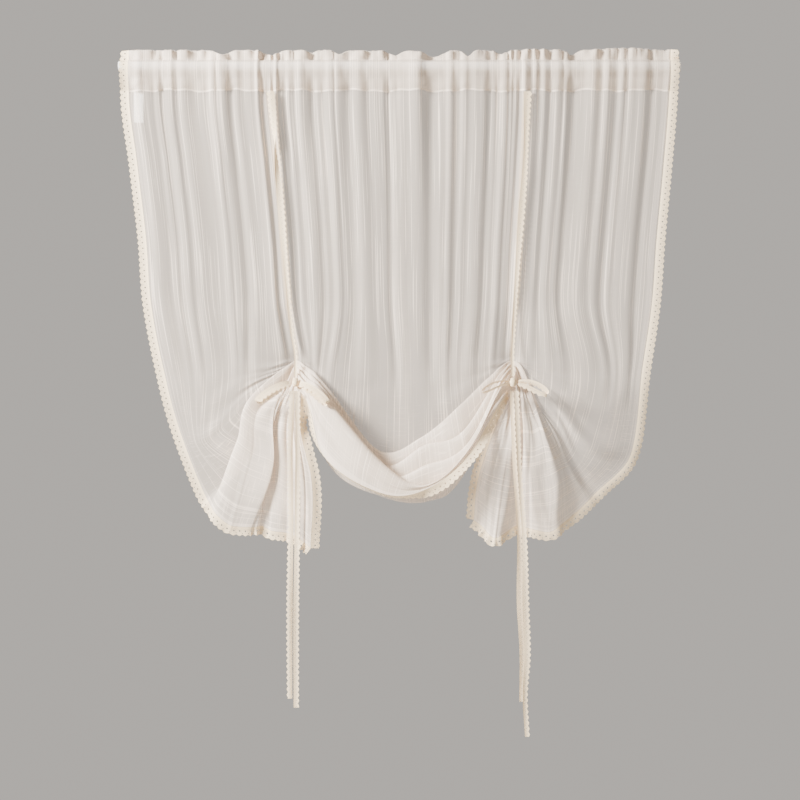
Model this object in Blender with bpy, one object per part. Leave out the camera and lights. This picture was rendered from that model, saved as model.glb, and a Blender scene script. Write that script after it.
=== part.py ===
"""Tie-up cafe curtain: one gathered sheer panel on a slim rod, lifted by two lace ties.

The panel is one rectangle of cloth. Every height in it is named by its share of the drop,
0 at the frill and 1 at the hem, and every place across it by its share of the width, 0 at
the left edge and 1 at the right. Above the ties the cloth hangs flat with soft gathers.
Below them the same cloth is pleated into each knot, so it fans out into a tail on the
outside and hangs in nested swags between the knots. The fold tables give one row per fold
line. Millimetres in the tables, metres everywhere else; the rod's axis is X, front is -Y.
"""

import math

import bmesh
import bpy
import numpy as np

MM = 0.001

# Panel
DROP = 1200 * MM
CLOTH_THICKNESS = 1.0 * MM
MITRE_LIMIT = 3

# A fold turns within this share of the cloth between two fold lines, and takes this share
# of the step in depth there, so that the layers lie side by side with a gap between them
TURN_SHARE = 0.12
TURN_DEPTH = 0.4
TOP_Z = 31 * MM
PIECE_GAP = 0.3 * MM

# Shares of the drop at the frill's seam and at the seam under the rod pocket
FRILL_SEAM = 0.0145
POCKET_SEAM = 0.0625

# Rod
ROD_DIAMETER = 19 * MM
ROD_LENGTH = 1050 * MM
ROD_SIDES = 32

# Lace and ties
LACE_WIDTH = 17 * MM
LACE_THICKNESS = 1.2 * MM
TIE_THICKNESS = 1.2 * MM
KNOT_SIZE = (12 * MM, 11 * MM, 17 * MM)
KNOT_Y = -29 * MM
KNOT_Z = -590 * MM

# Care label behind the cloth, under the pocket seam: left x, width, top z, height
LABEL = (-497 * MM, 18 * MM, -46 * MM, 58 * MM)
LABEL_THICKNESS = 1.0 * MM
LABEL_Y = 3 * MM

# Where the two ties cross the cloth, as shares of its width, and where their knots hang
TIE_SHARES = (0.274, 0.728)
KNOT_X = (-193 * MM, 211 * MM)
COLLAR_SHARE = 0.018

# Shares of the drop at the fold lines
FOLD_SHARES = (0.50, 0.62, 0.70, 0.78, 0.81, 0.84, 0.87, 0.90, 0.925, 0.95, 0.975, 1.0)

# Where each fold line passes through the knot: y, z. The layers lie one in front of another
BUNDLE = (
    (9, -543),
    (8, -566),
    (6, -590),
    (3, -549),
    (0, -593),
    (-3, -556),
    (-6, -595),
    (-9, -563),
    (-12, -597),
    (-15, -571),
    (-17, -588),
    (-18.5, -600),
)

# Where the fold lines leave the knot on the tail's side: outwards x, y, z
TAIL_COLLAR = (
    (16, 3, -546),
    (16, 2, -573),
    (16, 0, -603),
    (17, -3, -560),
    (17, -6, -603),
    (15, -9, -588),
    (11, -12, -602),
    (7, -15, -594),
    (3, -18, -606),
    (-1, -21, -600),
    (-5, -24, -606),
    (-9, -27, -612),
)

# The same on the swag's side
SWAG_COLLAR = (
    (16, 4, -547),
    (16, 2, -575),
    (16, -1, -606),
    (16, -5, -557),
    (16, -8, -609),
    (16, -12, -566),
    (16, -15, -611),
    (16, -19, -576),
    (16, -23, -613),
    (16, -27, -587),
    (16, -31, -602),
    (16, -34, -617),
)

# Shares of the width at the table columns
LEFT_TAIL_SHARES = (0.22, 0.137, 0.0)
SWAG_SHARES = (0.365, 0.46, 0.55, 0.64)
RIGHT_TAIL_SHARES = (0.782, 0.865, 1.0)

# One row per fold line: near the knot x, y, z; half way x, y, z; side edge x, y, z
LEFT_TAIL = (
    (-257, -4, -560, -324, -4, -569, -440, 0, -569),
    (-250, -8, -594, -336, -10, -676, -403, -4, -700),
    (-240, -10, -622, -268, -8, -717, -360, -7, -805),
    (-268, -26, -607, -302, -34, -698, -347, -20, -827),
    (-253, -28, -631, -272, -38, -721, -309, -28, -857),
    (-230, -30, -634, -233, -37, -739, -276, -26, -859),
    (-225, -22, -642, -246, -20, -750, -257, -12, -857),
    (-219, -27, -642, -228, -28, -743, -238, -20, -866),
    (-207, -27, -646, -208, -28, -754, -210, -20, -870),
    (-197, -32, -648, -189, -34, -756, -188, -26, -879),
    (-191, -31, -652, -176, -31, -762, -175, -23, -889),
    (-186, -34, -661, -164, -36, -766, -165, -28, -898),
)

# One row per fold line: left shoulder x, y, z; left of middle x, y, z; right of middle x, y, z;
# right shoulder x, y, z
SWAG = (
    (-138, -4, -565, -27, 0, -569, 52, 0, -569, 128, -4, -567),
    (-144, -8, -652, -30, -4, -714, 54, -4, -712, 139, -8, -687),
    (-134, -11, -740, -26, -8, -806, 56, -8, -811, 119, -12, -764),
    (-138, -20, -594, -38, -21, -716, 40, -21, -693, 111, -26, -633),
    (-144, -25, -668, -32, -28, -784, 50, -28, -781, 126, -30, -721),
    (-137, -30, -604, -34, -35, -741, 45, -35, -707, 121, -36, -676),
    (-144, -35, -676, -30, -42, -788, 52, -41, -787, 130, -40, -732),
    (-135, -40, -612, -30, -49, -758, 50, -47, -742, 128, -45, -700),
    (-143, -44, -684, -30, -56, -791, 54, -54, -794, 134, -49, -737),
    (-132, -49, -624, -22, -63, -746, 52, -62, -778, 132, -54, -706),
    (-138, -54, -676, -32, -71, -774, 50, -67, -783, 130, -58, -714),
    (-142, -56, -722, -36, -70, -793, 46, -70, -788, 128, -62, -722),
)

# One row per fold line: near the knot x, y, z; half way x, y, z; side edge x, y, z
RIGHT_TAIL = (
    (276, -6, -560, 369, -4, -569, 453, 0, -569),
    (272, -18, -612, 341, -28, -698, 431, -6, -726),
    (270, -20, -650, 319, -12, -739, 367, -8, -795),
    (262, -30, -655, 296, -36, -750, 304, -24, -851),
    (253, -33, -658, 274, -40, -762, 276, -28, -868),
    (242, -34, -660, 246, -37, -769, 248, -26, -863),
    (228, -27, -660, 225, -22, -773, 220, -14, -857),
    (217, -33, -660, 208, -34, -777, 193, -24, -872),
    (208, -35, -660, 190, -38, -773, 177, -28, -879),
    (199, -36, -660, 175, -36, -769, 164, -20, -870),
    (190, -35, -664, 162, -29, -764, 154, -13, -858),
    (180, -33, -668, 150, -19, -757, 139, -5, -847),
)

# Shares of the drop at the level rows of the hanging cloth
HANGING_SHARES = (0.0, 0.0625, 0.18, 0.30, 0.39)

# Shape of the hanging cloth: height z, left edge x, left tie x, right tie x, right edge x
HANGING = (
    (31, -506, -241, 240, 506),
    (-44, -506, -241, 240, 504),
    (-250, -481, -223, 230, 487),
    (-410, -465, -209, 219, 472),
)

# Half gap of the rod pocket: height z, half gap y
POCKET = (
    (13.6, 0.0),
    (6.5, 11.6),
    (-3.5, 13.6),
    (-17.0, 11.5),
    (-31.0, 6.5),
    (-44.0, 0.0),
)

# Gathers pushed up on the rod: place x, half width, forward push y, dip of the frill z
GATHERS = (
    (-331, 14, -5, 9),
    (-240, 16, 4, 9),
    (-166, 9, 6, 4),
    (-112, 10, -6, 8),
    (-60, 30, 4, 1),
    (-8, 13, 6, 10),
    (30, 18, -6, 2),
    (66, 20, 6, 12),
    (128, 9, -6, 12),
    (190, 12, 5, 7),
    (260, 34, -4, -2),
    (322, 10, 6, 9),
    (420, 50, -5, -4),
)
GATHER_FADE = 330 * MM
FRILL_BASE = 12 * MM

# Runs of the ties from the pocket seam to the knots: height z, left x, right x, y, width
FRONT_RUN = (
    (-47, -241, 240, -9, 17),
    (-120, -234, 237, -9, 15),
    (-250, -222, 230, -8, 11),
    (-400, -210, 219, -7, 7),
    (-500, -200, 213, -8, 6),
    (-545, -193, 211, -16, 6),
    (-562, -193, 211, -20, 6),
    (-579, -193, 211, -23, 7),
)
BACK_RUN = (
    (-47, -241, 240, 9, 17),
    (-250, -222, 230, 9, 16),
    (-450, -206, 217, 10, 13),
    (-545, -193, 211, 18, 8),
    (-580, -193, 211, 19, 7),
    (-600, -193, 211, 14, 7),
    (-607, -193, 211, 2, 7),
    (-606, -193, 211, -12, 7),
)

# Bow loops: side, reach x, drop z, tape width, gap between the two layers
LOOP_LEAN = 27 * MM
LOOPS = (
    ("left", -70, -34, 17, 9),
    ("left", 58, -34, 16, 8),
    ("right", -56, -20, 7, 14),
    ("right", 60, -16, 17, 10),
)

# Free ends of the ties, top to bottom: x, y, z, width of the tape
LEFT_OUTER_END = (
    (-199, -42, -606, 11),
    (-202, -52, -700, 11),
    (-201, -56, -850, 11),
    (-203, -54, -1000, 12),
    (-203, -50, -1174, 10),
)
LEFT_INNER_END = (
    (-188, -44, -606, 9),
    (-187, -56, -720, 10),
    (-188, -60, -870, 10),
    (-190, -58, -1020, 11),
    (-190, -55, -1190, 10),
)
RIGHT_INNER_END = (
    (208, -42, -606, 8),
    (212, -54, -720, 9),
    (222, -54, -880, 10),
    (224, -52, -1000, 15),
    (228, -50, -1085, 13),
    (226, -48, -1180, 9),
)
RIGHT_OUTER_END = (
    (217, -46, -606, 9),
    (221, -62, -740, 9),
    (231, -62, -890, 10),
    (233, -60, -1000, 13),
    (236, -58, -1100, 12),
    (232, -56, -1165, 10),
    (236, -55, -1244, 9),
)


def smooth_through(knots, values, places, turns=False):
    """Smooth curve through values at knots: a cubic between each two, with the slope at a
    knot taken across its neighbours. Works on whole arrays, knots along the first axis.
    With turns, a knot where the values turn back is exactly the turning point."""
    knots = np.asarray(knots, dtype=float)
    values = np.asarray(values, dtype=float)
    places = np.clip(np.asarray(places, dtype=float), knots[0], knots[-1])
    shape = (-1,) + (1,) * (values.ndim - 1)
    steps = np.diff(knots).reshape(shape)
    chords = np.diff(values, axis=0) / steps
    slopes = np.empty_like(values)
    slopes[0] = chords[0]
    slopes[-1] = chords[-1]
    slopes[1:-1] = (chords[:-1] * steps[1:] + chords[1:] * steps[:-1]) / (steps[1:] + steps[:-1])
    if turns:
        steepest = 2 * np.minimum(np.abs(chords[:-1]), np.abs(chords[1:]))
        steepest = np.where(chords[:-1] * chords[1:] > 0, steepest, 0)
        slopes[1:-1] = np.clip(slopes[1:-1], -steepest, steepest)
    cell = np.clip(np.searchsorted(knots, places, side="right") - 1, 0, len(knots) - 2)
    width = (knots[cell + 1] - knots[cell]).reshape(shape)
    t = ((places - knots[cell]) / (knots[cell + 1] - knots[cell])).reshape(shape)
    start = values[cell] * (2 * t**3 - 3 * t**2 + 1) + slopes[cell] * width * (t**3 - 2 * t**2 + t)
    end = values[cell + 1] * (3 * t**2 - 2 * t**3) + slopes[cell + 1] * width * (t**3 - t**2)
    return start + end


def bundle_points(side):
    """Places of the fold lines where tie number side pinches them."""
    points = np.empty((len(BUNDLE), 3))
    points[:, 0] = KNOT_X[side]
    points[:, 1:] = np.asarray(BUNDLE) * MM
    return points


def collar_points(side, direction, collar):
    """The fold lines a little to the left (-1) or right (1) of the knot, fanned out."""
    points = np.asarray(collar) * MM
    points[:, 0] = KNOT_X[side] + direction * points[:, 0]
    return points


def table_points(table, column):
    """The x, y, z triple number column of every row of a fold table, in metres."""
    return np.asarray(table)[:, 3 * column : 3 * column + 3] * MM


def folded_net():
    """Fold lines by width shares: the control net of the cloth at and below the ties."""
    columns = [
        (LEFT_TAIL_SHARES[2], table_points(LEFT_TAIL, 2)),
        (LEFT_TAIL_SHARES[1], table_points(LEFT_TAIL, 1)),
        (LEFT_TAIL_SHARES[0], table_points(LEFT_TAIL, 0)),
        (TIE_SHARES[0] - COLLAR_SHARE, collar_points(0, -1, TAIL_COLLAR)),
        (TIE_SHARES[0], bundle_points(0)),
        (TIE_SHARES[0] + COLLAR_SHARE, collar_points(0, 1, SWAG_COLLAR)),
        (SWAG_SHARES[0], table_points(SWAG, 0)),
        (SWAG_SHARES[1], table_points(SWAG, 1)),
        (SWAG_SHARES[2], table_points(SWAG, 2)),
        (SWAG_SHARES[3], table_points(SWAG, 3)),
        (TIE_SHARES[1] - COLLAR_SHARE, collar_points(1, -1, SWAG_COLLAR)),
        (TIE_SHARES[1], bundle_points(1)),
        (TIE_SHARES[1] + COLLAR_SHARE, collar_points(1, 1, TAIL_COLLAR)),
        (RIGHT_TAIL_SHARES[0], table_points(RIGHT_TAIL, 0)),
        (RIGHT_TAIL_SHARES[1], table_points(RIGHT_TAIL, 1)),
        (RIGHT_TAIL_SHARES[2], table_points(RIGHT_TAIL, 2)),
    ]
    shares = np.array([share for share, _ in columns])
    return shares, np.stack([points for _, points in columns], axis=1)


def turned(knots, depths):
    """Knots and depths with two more between each two: just past a fold line the cloth has
    already turned by TURN_DEPTH of its way to the next one's depth, and then hangs plainly.
    There is no turn at the hem."""
    spans = np.diff(knots)
    steps = np.diff(depths, axis=0)
    more_knots = [knots[:-1], knots[:-1] + TURN_SHARE * spans, knots[1:] - TURN_SHARE * spans]
    more_depths = [depths[:-1], depths[:-1] + TURN_DEPTH * steps, depths[1:] - TURN_DEPTH * steps]
    places = np.stack(more_knots, axis=1).reshape(-1)[:-1]
    values = np.stack(more_depths, axis=1).reshape(-1, depths.shape[1])[:-1]
    return np.append(places, knots[-1]), np.concatenate([values, depths[-1:]])


def hanging_row(z, shares):
    """Points at height z of the cloth above the ties: level, straight from edge to tie to
    tie to edge."""
    table = np.asarray(HANGING) * MM
    order = np.argsort(table[:, 0])
    knots = table[order, 0]
    x_at = smooth_through(knots, table[order, 1:], np.array([z]))[0]
    x = np.interp(shares, (0, TIE_SHARES[0], TIE_SHARES[1], 1), x_at)
    return np.stack([x, np.zeros_like(x), np.full_like(x, z)], axis=1)


def cloth_surface(width_shares, drop_shares):
    """The panel's middle surface as an array over width shares and drop shares."""
    net_shares, folded = folded_net()
    hanging = [hanging_row(TOP_Z - DROP * share, net_shares) for share in HANGING_SHARES]
    knots = np.concatenate([HANGING_SHARES, FOLD_SHARES])
    net = np.concatenate([np.stack(hanging), folded])
    rows = smooth_through(knots, net, drop_shares, turns=True)
    turn_knots, depths = turned(knots, net[..., 1])
    rows[..., 1] = smooth_through(turn_knots, depths, drop_shares, turns=True)
    return smooth_through(net_shares, np.swapaxes(rows, 0, 1), width_shares)


def gathered(points):
    """Adds the header's gathers: soft bumps about each gather's x that fade down the panel,
    and the dips that they pull in the frill's top edge."""
    x = points[..., 0]
    z = points[..., 2]
    fade = np.clip(1 + z / GATHER_FADE, 0, 1) ** 1.5
    grip = np.where(z > 0, 0.75, np.clip(1 - z / (0.1 * GATHER_FADE), 0, 1) * 0.25 + 0.75)
    rise = np.clip((z - FRILL_BASE) / (TOP_Z - FRILL_BASE), 0, 1)
    moved = points.copy()
    for place, width, push, dip in GATHERS:
        bump = np.exp(-(((x - place * MM) / (width * MM)) ** 2))
        moved[..., 1] += push * MM * bump * fade * grip * 0.8
        moved[..., 2] -= dip * MM * bump * rise
    return moved


def surface_normals(points):
    """Normals of a grid of points, towards the back of the flat panel. At a fold they are
    lengthened as a mitre is, so that skins set off along them keep the cloth's thickness."""
    across, _ = mean_direction(points)
    down, mitre = mean_direction(np.swapaxes(points, 0, 1))
    normals = unit(np.cross(across, np.swapaxes(down, 0, 1)))
    return normals * np.swapaxes(mitre, 0, 1)


def mean_direction(points):
    """Direction of the grid lines at every point along the first axis: the mean of the
    directions of the steps before and after it, however long each step is. Also the mitre
    there: one over the cosine between that mean and either step, up to a limit."""
    steps = unit(np.diff(points, axis=0))
    steps = np.concatenate([steps[:1], steps, steps[-1:]])
    means = unit(steps[:-1] + steps[1:])
    cosines = np.sum(means * steps[1:], axis=-1, keepdims=True)
    return means, 1 / np.maximum(cosines, 1 / MITRE_LIMIT)


def make_material(name, color, roughness):
    """A plain Principled material."""
    material = bpy.data.materials.new(name)
    material.use_nodes = True
    shader = material.node_tree.nodes["Principled BSDF"]
    shader.inputs["Base Color"].default_value = (*color, 1)
    shader.inputs["Roughness"].default_value = roughness
    shader.inputs["Metallic"].default_value = 0
    return material


def make_object(name, vertices, faces, material):
    """An object from vertices and faces, its faces turned to point out."""
    mesh = bpy.data.meshes.new(name)
    mesh.from_pydata([tuple(v) for v in vertices], [], faces)
    work = bmesh.new()
    work.from_mesh(mesh)
    bmesh.ops.recalc_face_normals(work, faces=work.faces)
    work.to_mesh(mesh)
    work.free()
    mesh.materials.append(material)
    piece = bpy.data.objects.new(name, mesh)
    bpy.context.scene.collection.objects.link(piece)
    return piece


def panel_shares():
    """Width shares and drop shares of the panel's grid, closest where the folds are."""
    width_knots, _ = folded_net()
    width_steps = (5, 3, 2, 1, 1, 3, 3, 3, 3, 3, 1, 1, 2, 3, 5)
    hanging = share_grid((0, FRILL_SEAM, POCKET_SEAM, 0.18, 0.39, FOLD_SHARES[0]), (1, 5, 1, 2, 1))
    folds = np.array(FOLD_SHARES[1:])
    spans = np.diff(folds)
    turns = np.stack([folds[:-1] + TURN_SHARE * spans, folds[1:] - TURN_SHARE * spans], axis=1)
    middle = (FOLD_SHARES[0] + FOLD_SHARES[1]) / 2
    drop = np.concatenate([hanging, [middle], turns.reshape(-1), [1.0]])
    return share_grid(width_knots, width_steps), drop


def share_grid(knots, steps):
    """Places from the first knot to the last, with a number of even steps in each cell."""
    runs = [np.linspace(a, b, n, endpoint=False) for a, b, n in zip(knots[:-1], knots[1:], steps)]
    return np.concatenate(runs + [[knots[-1]]])


def panel_layers(width, drop):
    """Middle surface of the front layer over the whole drop, its normals, the rows of the
    rod pocket, and the half gap there."""
    surface = gathered(cloth_surface(width, drop))
    first = int(np.argmin(np.abs(drop - FRILL_SEAM)))
    last = int(np.argmin(np.abs(drop - POCKET_SEAM)))
    table = np.asarray(POCKET) * MM
    heights = np.interp(np.arange(first, last + 1), np.linspace(first, last, len(table)), table[:, 0])
    gaps = np.interp(np.arange(first, last + 1), np.linspace(first, last, len(table)), table[:, 1])
    surface[:, first : last + 1, 2] = heights
    return surface, first, last, gaps


def make_panel(material):
    """The cloth: front and back skins half a thickness each side of the middle surface.
    Between the frill seam and the pocket seam the two layers part around the rod."""
    width, drop = panel_shares()
    surface, first, last, gaps = panel_layers(width, drop)
    columns, rows = surface.shape[:2]
    half = CLOTH_THICKNESS / 2
    front_layer = surface.copy()
    back_layer = surface.copy()
    ripple = surface[:, first : last + 1, 1]
    open_share = np.clip(gaps / gaps.max(), 0, 1)
    shared_ripple = ripple * (1 - open_share)
    front_layer[:, first : last + 1, 1] = -gaps + np.minimum(ripple, 0) * open_share + shared_ripple
    back_layer[:, first : last + 1, 1] = gaps + np.maximum(ripple, 0) * open_share + shared_ripple
    front_normals = surface_normals(front_layer)
    back_normals = surface_normals(back_layer)
    outside_front = front_layer - front_normals * half
    outside_back = back_layer + back_normals * half
    inside_front = front_layer[:, first : last + 1] + front_normals[:, first : last + 1] * half
    inside_back = back_layer[:, first : last + 1] - back_normals[:, first : last + 1] * half
    for end, inward in ((0, -1), (-1, 1)):
        seam = front_layer[:, first if end == 0 else last]
        inside_front[:, end] = seam + np.array([0, 0, inward * 0.5 * half])
        inside_back[:, end] = inside_front[:, end]
    vertices = []
    front = grid_ids(vertices, outside_front)
    back = grid_ids(vertices, outside_back)
    tunnel_front = grid_ids(vertices, inside_front)
    tunnel_back = grid_ids(vertices, inside_back)
    tunnel_back[:, 0] = tunnel_front[:, 0]
    tunnel_back[:, -1] = tunnel_front[:, -1]
    faces = grid_faces(front) + grid_faces(back) + grid_faces(tunnel_front) + grid_faces(tunnel_back)
    for row in (0, rows - 1):
        for column in range(columns - 1):
            near = (front[column, row], front[column + 1, row])
            far = (back[column + 1, row], back[column, row])
            faces.append(near + far)
    for column in (0, columns - 1):
        tunnel = (tunnel_front[column], tunnel_back[column])
        faces += side_faces(front[column], back[column], tunnel, first, last)
    return make_object("panel", vertices, faces, material)


def grid_ids(vertices, points):
    """Adds a grid of points to the vertices and returns their numbers."""
    start = len(vertices)
    vertices.extend(points.reshape(-1, 3))
    return np.arange(start, start + points.shape[0] * points.shape[1]).reshape(points.shape[:2])


def grid_faces(ids):
    """Triangles over a grid of vertex numbers, each cell cut along the same diagonal, so that
    two skins over like grids stay parallel."""
    first, right, below = ids[:-1, :-1], ids[1:, :-1], ids[:-1, 1:]
    far = ids[1:, 1:]
    faces = np.stack([np.stack([first, right, far], axis=-1), np.stack([first, far, below], axis=-1)])
    return [tuple(int(n) for n in face) for face in faces.reshape(-1, 3)]


def side_faces(front, back, tunnel, first, last):
    """The cloth's thickness along one side edge, open where the rod pocket is."""
    tunnel_front, tunnel_back = tunnel
    faces = []
    for row in range(len(front) - 1):
        if first <= row < last:
            k = row - first
            faces.append((front[row], tunnel_front[k], tunnel_front[k + 1], front[row + 1]))
            faces.append((tunnel_back[k], back[row], back[row + 1], tunnel_back[k + 1]))
        elif row == first - 1:
            faces.append((front[row], back[row], back[row + 1], tunnel_front[0], front[row + 1]))
        elif row == last:
            faces.append((front[row], tunnel_front[-1], back[row], back[row + 1], front[row + 1]))
        else:
            faces.append((front[row], back[row], back[row + 1], front[row + 1]))
    return [tuple(int(n) for n in face) for face in faces]


def strip(name, path, across, thickness_way, widths, thickness, material):
    """A flat tape along a path: its width runs along across, its thickness along
    thickness_way, each given at every point of the path."""
    widths = np.broadcast_to(np.asarray(widths, dtype=float).reshape(-1, 1), (len(path), 1))
    near = path
    far = path + across * widths
    lift = thickness_way * thickness / 2
    rings = np.stack([near - lift, far - lift, far + lift, near + lift], axis=1)
    count = len(path)
    ids = np.arange(count * 4).reshape(count, 4)
    faces = []
    for side in range(4):
        other = (side + 1) % 4
        faces += grid_faces(np.stack([ids[:, side], ids[:, other]], axis=1))
    faces.append(tuple(int(n) for n in ids[0]))
    faces.append(tuple(int(n) for n in ids[-1]))
    return make_object(name, rings.reshape(-1, 3), faces, material)


def unit(vectors):
    """Vectors scaled to length one."""
    return vectors / np.maximum(np.linalg.norm(vectors, axis=-1, keepdims=True), 1e-9)


def edge_frame(edge, inner):
    """For points along a cloth edge and points just inside it: the way out of the cloth,
    square to the edge, and the cloth's normal."""
    along = unit(np.gradient(edge, axis=0))
    out = edge - inner
    out = unit(out - along * np.sum(out * along, axis=1, keepdims=True))
    return out, unit(np.cross(along, out))


def make_side_lace(name, edge_share, inner_share, material):
    """Lace edging sewn along one side edge, from the frill to the corner of the hem."""
    _, drop = panel_shares()
    shares = np.array([edge_share, inner_share])
    surface, first, last, gaps = panel_layers(shares, drop)
    surface[:, first : last + 1, 1] -= gaps
    out, normal = edge_frame(surface[0], surface[1])
    start = surface[0] + out * PIECE_GAP
    return strip(name, start, out, normal, LACE_WIDTH, LACE_THICKNESS, material)


def make_hem_lace(name, first_share, last_share, material):
    """Lace edging sewn along the hem between two width shares."""
    width, _ = panel_shares()
    width = width[(width >= first_share) & (width <= last_share)]
    surface = cloth_surface(width, np.array([0.985, 1.0]))
    out, normal = edge_frame(surface[:, 1], surface[:, 0])
    start = surface[:, 1] + out * PIECE_GAP
    return strip(name, start, out, normal, LACE_WIDTH, LACE_THICKNESS, material)


def make_rod(material):
    """The slim rod in the pocket: a straight cylinder along X with flat ends."""
    angles = np.linspace(0, 2 * math.pi, ROD_SIDES, endpoint=False)
    radius = ROD_DIAMETER / 2
    ring = np.stack([np.zeros(ROD_SIDES), radius * np.cos(angles), radius * np.sin(angles)], axis=1)
    ends = [ring + np.array([sign * ROD_LENGTH / 2, 0, 0]) for sign in (-1, 1)]
    faces = [tuple(range(ROD_SIDES)), tuple(range(ROD_SIDES, 2 * ROD_SIDES))]
    for side in range(ROD_SIDES):
        other = (side + 1) % ROD_SIDES
        faces.append((side, other, ROD_SIDES + other, ROD_SIDES + side))
    piece = make_object("rod", np.concatenate(ends), faces, material)
    piece.data.shade_smooth()
    piece.data.set_sharp_from_angle(angle=math.radians(40))
    return piece


def tape_down(name, rows, material):
    """A tape that hangs facing the front: rows of x, y, z and width from top to bottom."""
    rows = np.asarray(rows) * MM
    spans = np.concatenate([[0], np.cumsum(np.linalg.norm(np.diff(rows[:, :3], axis=0), axis=1))])
    places = np.linspace(0, spans[-1], 3 * len(rows))
    smooth = smooth_through(spans, rows, places)
    along = unit(np.gradient(smooth[:, :3], axis=0))
    across = np.tile((1.0, 0.0, 0.0), (len(places), 1))
    facing = unit(np.cross(across, along))
    start = smooth[:, :3] - across * smooth[:, 3:] / 2
    return strip(name, start, across, facing, smooth[:, 3], TIE_THICKNESS, material)


def make_runs(material):
    """The hanging runs of both ties: one tape in front of the cloth and one behind it, which
    passes under the bundle to the knot."""
    for column, side in ((1, "left"), (2, "right")):
        for name, run in (("tie_front_", FRONT_RUN), ("tie_back_", BACK_RUN)):
            rows = [(row[column], row[3], row[0], row[4]) for row in run]
            tape_down(name + side, rows, material)


def make_bows(material):
    """Both bows: a knot with two loops of tape, joined into one solid."""
    for number, side in enumerate(("left", "right")):
        centre = np.array([KNOT_X[number], KNOT_Y, KNOT_Z])
        knot = rounded_lump("bow_" + side, centre, KNOT_SIZE, material)
        loops = [row[1:] for row in LOOPS if row[0] == side]
        for count, (reach, drop, width, gap) in enumerate(loops):
            loop = bow_loop(f"loop_{side}_{count}", centre, reach, drop, width, gap, material)
            loop.hide_render = True
            loop.display_type = "WIRE"
            join = knot.modifiers.new("loop", "BOOLEAN")
            join.operation = "UNION"
            join.object = loop


def bow_loop(name, centre, reach, drop, width, gap, material):
    """A flattened loop of tape: out in front, round the tip and back behind."""
    tip = np.array([reach, 0, drop]) * MM
    length = np.linalg.norm(tip)
    way = tip / length
    turn = np.linspace(0, math.pi, 7)
    out = np.linspace(0.02, 0.9, 6)
    front = np.stack([out * length, np.full(len(out), -gap / 2 * MM)], axis=1)
    tip_round = np.stack([0.92 * length + gap / 2 * MM * np.sin(turn), -gap / 2 * MM * np.cos(turn)], axis=1)
    profile = np.concatenate([front, tip_round, front[::-1] * (1, -1)])
    ease = np.clip(profile[:, 0] / length, 0, 1) ** 0.5
    path = centre + way * profile[:, :1]
    path[:, 1] += profile[:, 1] * ease - LOOP_LEAN * ease
    across = np.tile((-way[2], 0, way[0]), (len(path), 1)) * math.copysign(1, reach)
    widths = width * MM * (0.45 + 0.55 * np.minimum(1, profile[:, 0] / (0.35 * length)))
    start = path - across * widths[:, None] / 2
    facing = unit(np.cross(across, unit(np.gradient(path, axis=0))))
    return strip(name, start, across, facing, widths, TIE_THICKNESS, material)


def rounded_lump(name, centre, size, material):
    """A small rounded block, square in the middle and drawn in at its ends."""
    turns = np.linspace(0, 2 * math.pi, 16, endpoint=False)
    rises = np.radians((-60, -30, 0, 30, 60))
    rings = []
    for rise in rises:
        ring = np.stack([np.cos(turns), np.sin(turns), np.full(16, math.sin(rise))], axis=1)
        ring[:, :2] *= math.cos(rise) ** 0.6
        rings.append(ring * np.array(size) / 2 + centre)
    ids = np.arange(16 * len(rises)).reshape(len(rises), 16)
    around = np.concatenate([ids, ids[:, :1]], axis=1)
    faces = grid_faces(around)
    faces.append(tuple(int(n) for n in ids[0]))
    faces.append(tuple(int(n) for n in ids[-1]))
    return make_object(name, np.concatenate(rings), faces, material)


def make_label(material):
    """The blank care label, a small flat tab."""
    left, width, top, height = LABEL
    path = np.array([(left, LABEL_Y, top), (left, LABEL_Y, top - height)])
    across = np.tile((1.0, 0.0, 0.0), (2, 1))
    facing = np.tile((0.0, 1.0, 0.0), (2, 1))
    return strip("care_label", path, across, facing, width, LABEL_THICKNESS, material)


def main():
    """Builds every piece of the curtain."""
    for old in list(bpy.data.objects):
        bpy.data.objects.remove(old, do_unlink=True)
    cloth = make_material("sheer_voile", (0.80, 0.76, 0.71), 0.85)
    lace = make_material("cotton_lace", (0.86, 0.79, 0.68), 0.9)
    white = make_material("white_steel", (0.85, 0.85, 0.84), 0.4)
    label = make_material("white_satin", (0.88, 0.88, 0.87), 0.6)
    make_panel(cloth)
    make_rod(white)
    make_side_lace("lace_left", 0.0, 0.012, lace)
    make_side_lace("lace_right", 1.0, 0.988, lace)
    make_hem_lace("lace_hem_left", 0.0, 0.205, lace)
    make_hem_lace("lace_hem_middle", 0.32, 0.68, lace)
    make_hem_lace("lace_hem_right", 0.80, 1.0, lace)
    make_runs(lace)
    make_bows(lace)
    tape_down("tie_end_left_outer", LEFT_OUTER_END, lace)
    tape_down("tie_end_left_inner", LEFT_INNER_END, lace)
    tape_down("tie_end_right_inner", RIGHT_INNER_END, lace)
    tape_down("tie_end_right_outer", RIGHT_OUTER_END, lace)
    make_label(label)


main()
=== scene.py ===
"""Tie-up cafe curtain: a sheer gathered panel with lace edging, lifted by two lace bows.

The cloth is one rectangle. A place in it is named by its share of the width and its share
of the drop. Above the ties it hangs flat with soft gathers; below them it is pleated into
each knot, so it fans out into a tail at each side and hangs in nested swags between them.
Tables are in millimetres, everything else in metres; the rod's axis is X, front is -Y.
"""
import math

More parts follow.
